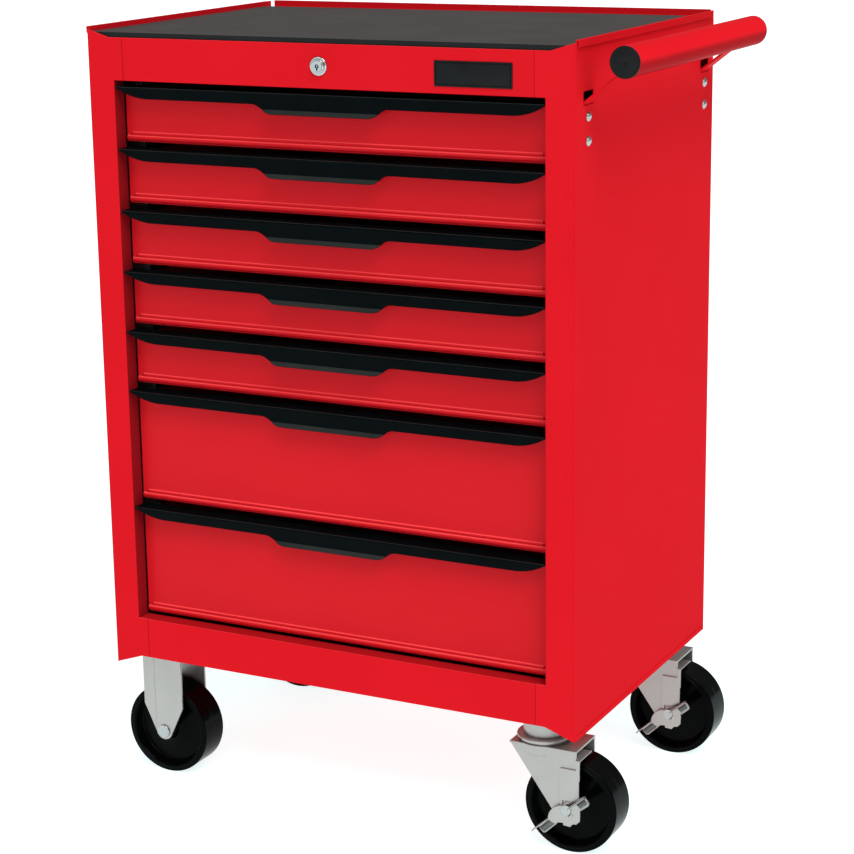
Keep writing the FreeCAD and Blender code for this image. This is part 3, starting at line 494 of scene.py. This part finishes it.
# ------------------------------------------------------------------ wheels
def make_wheel(name):
    """Moulded wheel: stepped hub, conical web, ridged rim, square shoulders and a fine parting line."""
    centre, half = middle_of(name)
    tread, hub = half.z, half.y
    rim = hub - RIM_SET_BACK * MM
    shoulder = SHOULDER * MM
    side = [(r * MM, hub - drop * MM) for r, drop in WHEEL_HUB]
    side += [(r * MM, along * MM) for r, along in WHEEL_WEB]
    side += [(r * MM, rim - drop * MM) for r, drop in WHEEL_RIDGE]
    face = side[-1][1]
    for k in range(SHOULDER_STEPS + 1):
        turn = math.radians(90.0 * k / SHOULDER_STEPS)
        side.append((tread - shoulder * (1.0 - math.sin(turn)), face - shoulder * (1.0 - math.cos(turn))))
    side += [(tread, face - shoulder - 0.3 * MM), (tread, 1.0 * MM)]
    side += [(tread, 0.3 * MM), (tread - 0.1 * MM, 0.15 * MM)]
    profile = side + [(r, -along) for r, along in reversed(side)]
    bm = bmesh.new()
    add_lathe(bm, profile, centre, WHEEL_SEGMENTS)
    return bm


def make_wheels():
    for end in CASTER_ENDS:
        for kind in ("fixed_wheel_", "swivel_wheel_"):
            node = kind + end
            mesh_piece("moulded_" + node, make_wheel(node), "wheel_plastic", node, (node,))


# ------------------------------------------------------------------ handle
def make_end_caps():
    """Slightly domed caps with a rolled rim, standing for the plain CAD discs."""
    low, high = corners_of("handle_end_caps")
    axis_x, axis_z = (low.x + high.x) / 2.0, (low.z + high.z) / 2.0
    radius = (high.x - low.x) / 2.0
    thick, plug, plug_end, tip = CAP_THICK * MM, CAP_PLUG_RADIUS * MM, -CAP_PLUG_LENGTH * MM, 0.05 * MM
    cap = [(tip, thick)] + [(share * radius, thick - drop * MM) for share, drop in CAP_CROWN]
    cap += [(radius, tip), (plug, 0.0), (plug, plug_end), (tip, plug_end)]
    bm = bmesh.new()
    for end, outward in ((low.y + thick, -1.0), (high.y - thick, 1.0)):
        profile = [(r, along * outward) for r, along in cap]
        add_lathe(bm, profile, Vector((axis_x, end, axis_z)), CAP_SEGMENTS)
    mesh_piece("handle_caps_domed", bm, "black_plastic", "cabinet", ("handle_end_caps",))


def add_bead(bm, start, end, radius, ripples):
    """Weld bead: a tube whose radius swells with each ripple, tapered at both ends."""
    along = (end - start).normalized()
    side = along.orthogonal().normalized()
    up = along.cross(side)
    steps = ripples * 6
    rings = []
    for k in range(steps + 1):
        t = k / steps
        taper = min(1.0, 6.0 * t + 0.25, 6.0 * (1.0 - t) + 0.25)
        size = radius * taper * (1.0 + 0.13 * math.sin(2.0 * math.pi * ripples * t))
        here = start.lerp(end, t)
        rings.append([bm.verts.new(here + (side * c + up * s) * size) for c, s in circle(10)])
    capped_tube(bm, rings)


def make_handle_welds():
    """Two beads where each bracket meets the tube."""
    low, high = corners_of("handle_brackets")
    tube, _ = middle_of("handle_tube")
    reach = Vector((0.0, WELD_HALF_LENGTH * MM, 0.0))
    bm = bmesh.new()
    for y in (low.y + BRACKET_WIDTH / 2.0 * MM, high.y - BRACKET_WIDTH / 2.0 * MM):
        for dx, dz in WELD_LINES:
            middle = Vector((tube.x + dx * MM, y, tube.z + dz * MM))
            add_bead(bm, middle - reach, middle + reach, WELD_RADIUS * MM, WELD_RIPPLES)
    mesh_piece("handle_weld_beads", bm, "red_paint", "cabinet")


# ------------------------------------------------------------------ name plate
def make_name_plate():
    """Plain black plate with a slim raised border, no lettering."""
    face = corners_of("lock_rail")[0].y
    origin_x = corners_of("left_side_panel")[0].x + HEM * MM
    x0, x1 = (origin_x + x * MM for x in PLATE_X)
    z0, z1 = ((CLEARANCE + z) * MM for z in PLATE_Z)
    bm = bmesh.new()
    add_slab(bm, rectangle(x0, x1, z0, z1, PLATE_CORNER * MM), face, face - PLATE_PROUD * MM, 0.3 * MM)
    mesh_piece("name_plate_base", bm, "black_plastic", "cabinet")
    inset, wide = BORDER_INSET * MM, BORDER_WIDTH * MM
    left, right, low, high = x0 + inset, x1 - inset, z0 + inset, z1 - inset
    bm = bmesh.new()
    for a0, a1, b0, b1 in ((left, right, low, low + wide), (left, right, high - wide, high),
                           (left, left + wide, low + wide, high - wide),
                           (right - wide, right, low + wide, high - wide)):
        bar = [(a0, b0), (a1, b0), (a1, b1), (a0, b1)]
        add_slab(bm, bar, face - 0.9 * MM, face - 1.25 * MM, 0.1 * MM)
    mesh_piece("name_plate_border", bm, "black_paint", "cabinet")


# ------------------------------------------------------------------ brake levers
def add_wire(bm, points, radius):
    """Bent wire through points that share one y."""
    across = Vector((0.0, 1.0, 0.0))
    rings = []
    for k, point in enumerate(points):
        along = (points[min(k + 1, len(points) - 1)] - points[max(k - 1, 0)]).normalized()
        out = along.cross(across)
        rings.append([bm.verts.new(point + (across * c + out * s) * radius) for c, s in circle(10)])
    capped_tube(bm, rings)


def make_pedal_trim(end):
    """Rolled rims and dark pressed faces of the brake lever's two pedals."""
    axle, _ = middle_of("swivel_wheel_" + end)
    face_y = corners_of("brake_shoe_" + end)[0].y - LEVER_BEFORE_SHOE * MM
    rims, faces = bmesh.new(), bmesh.new()
    for rim in PEDAL_RIMS:
        points = [Vector((axle.x + x * MM, face_y, axle.z + z * MM)) for x, z in rim]
        add_wire(rims, points, RIM_RADIUS * MM)
    for face in PEDAL_FACES:
        outline = [(axle.x + x * MM, axle.z + z * MM) for x, z in face]
        add_slab(faces, outline, face_y + 0.1 * MM, face_y - 0.15 * MM, 0.05 * MM)
    body = "brake_lever_" + end
    mesh_piece("pedal_rims_" + end, rims, "caster_zinc", body)
    piece = mesh_piece("pedal_faces_" + end, faces, "caster_zinc", body)
    piece.data.materials.clear()
    piece.data.materials.append(PEDAL_FACE)


# ------------------------------------------------------------------ drawer slides
def add_ball(bm, centre, radius, rows=6, around=10):
    rings = []
    for i in range(1, rows):
        lift = math.pi * i / rows
        flat, height = radius * math.sin(lift), radius * math.cos(lift)
        rings.append([bm.verts.new(centre + Vector((flat * c, flat * s, height))) for c, s in circle(around)])
    top, bottom = (bm.verts.new(centre + Vector((0, 0, z))) for z in (radius, -radius))
    for k in range(around):
        n = (k + 1) % around
        bm.faces.new((top, rings[0][k], rings[0][n]))
        bm.faces.new((bottom, rings[-1][n], rings[-1][k]))
    join_rings(bm, rings)


def make_slide_balls():
    """Ball rows between the middle and inner slide members."""
    for n in DRAWERS:
        member = "slide_middle_%d" % n
        low, high = corners_of(member)
        bm = bmesh.new()
        for x in (low.x + BALL_INSET_X * MM, high.x - BALL_INSET_X * MM):
            for z in (low.z + BALL_INSET_Z * MM, high.z - BALL_INSET_Z * MM):
                for k in range(BALLS_IN_ROW):
                    y = low.y + (FIRST_BALL + BALL_PITCH * k) * MM
                    add_ball(bm, Vector((x, y, z)), BALL_RADIUS * MM)
        mesh_piece("slide_balls_%d" % n, bm, "bolt_steel", member)


# ------------------------------------------------------------------ spot welds
def add_dimple(bm, centre, normal, radius):
    """Faint ring left by a spot-welding tip: a low dome with a sunk middle."""
    side = normal.orthogonal().normalized()
    up = normal.cross(side)
    rings = []
    for share, lift in SPOT_RINGS:
        middle, reach = centre + normal * lift * MM, radius * share
        rings.append([bm.verts.new(middle + (side * c + up * s) * reach) for c, s in circle(SPOT_SEGMENTS)])
    capped_tube(bm, rings)


def make_spot_welds():
    """A row down each rear flange."""
    low, high = corners_of("back_panel")
    left_low, left_high = corners_of("left_side_panel")
    right_high = corners_of("right_side_panel")[1]
    bm = bmesh.new()
    for k in range(WELD_SPOTS):
        run = high.z - low.z - SPOT_MARGINS * MM
        z = low.z + SPOT_LOW_MARGIN * MM + run * k / (WELD_SPOTS - 1)
        for x in (left_low.x + SPOT_INSET_X * MM, right_high.x - SPOT_INSET_X * MM):
            add_dimple(bm, Vector((x, left_high.y, z)), Vector((0, 1, 0)), SPOT_RADIUS * MM)
    mesh_piece("rear_spot_welds", bm, "red_paint", "cabinet")


# ------------------------------------------------------------------ stage
def make_floor():
    """Plain pale floor that glows a little, so that it stays nearly white in the shade."""
    bpy.ops.mesh.primitive_plane_add(size=FLOOR_SIZE, location=(0, 0, 0))
    floor = bpy.context.object
    floor.name = "floor"
    material, _, shader, _ = new_material("pale_floor")
    shader.inputs["Base Color"].default_value = FLOOR_COLOUR
    shader.inputs["Roughness"].default_value = 0.9
    shader.inputs["Specular IOR Level"].default_value = 0.0
    shader.inputs["Emission Color"].default_value = FLOOR_GLOW
    shader.inputs["Emission Strength"].default_value = FLOOR_GLOW_STRENGTH
    floor.data.materials.append(material)


def make_world():
    world = bpy.data.worlds.new("soft_white")
    world.use_nodes = True
    background = world.node_tree.nodes["Background"]
    background.inputs["Color"].default_value = (1.0, 1.0, 1.0, 1.0)
    background.inputs["Strength"].default_value = WORLD_STRENGTH
    scene.world = world


def new_light(name, kind, power):
    data = bpy.data.lights.new(name, kind)
    data.energy = power
    light = bpy.data.objects.new(name, data)
    scene.collection.objects.link(light)
    return light


def make_overhead_light():
    """Broad light from above, to the front and right."""
    light = new_light("overhead", "SUN", SUN_STRENGTH)
    light.data.angle = math.radians(SUN_SOFTNESS)
    light.rotation_euler = (math.radians(SUN_TILT[0]), math.radians(SUN_TILT[1]), 0.0)


def make_softbox(name, place, target, size, power):
    light = new_light(name, "AREA", power)
    light.data.shape = "RECTANGLE"
    light.data.size, light.data.size_y = size
    light.location = place
    light.rotation_euler = (Vector(target) - Vector(place)).to_track_quat("-Z", "Y").to_euler()


def make_stage():
    make_floor()
    make_world()
    make_overhead_light()
    for softbox in SOFTBOXES:
        make_softbox(*softbox)
    scene.view_settings.view_transform = "Standard"


def make_camera():
    azimuth, elevation, roll = (math.radians(a) for a in (CAMERA_AZIMUTH, CAMERA_ELEVATION, CAMERA_ROLL))
    forward = Vector((-math.sin(azimuth) * math.cos(elevation), math.cos(azimuth) * math.cos(elevation),
                      -math.sin(elevation)))
    right = Vector((math.cos(azimuth), math.sin(azimuth), 0.0))
    up = right.cross(forward)
    right, up = math.cos(roll) * right + math.sin(roll) * up, math.cos(roll) * up - math.sin(roll) * right
    data = bpy.data.cameras.new("camera")
    data.sensor_width = 36.0
    data.lens = FOCAL_WIDTHS * data.sensor_width
    data.shift_x, data.shift_y = CAMERA_SHIFT
    data.clip_start, data.clip_end = 0.05, 100.0
    camera = bpy.data.objects.new("camera", data)
    scene.collection.objects.link(camera)
    turn = Matrix((right, up, -forward)).transposed()
    camera.matrix_world = Matrix.Translation(Vector(CAMERA_PLACE)) @ turn.to_4x4()
    scene.camera = camera


make_camera()
dress_nodes()
make_wheels()
make_end_caps()
make_handle_welds()
make_name_plate()
for caster_end in CASTER_ENDS:
    make_pedal_trim(caster_end)
make_slide_balls()
make_spot_welds()
make_stage()
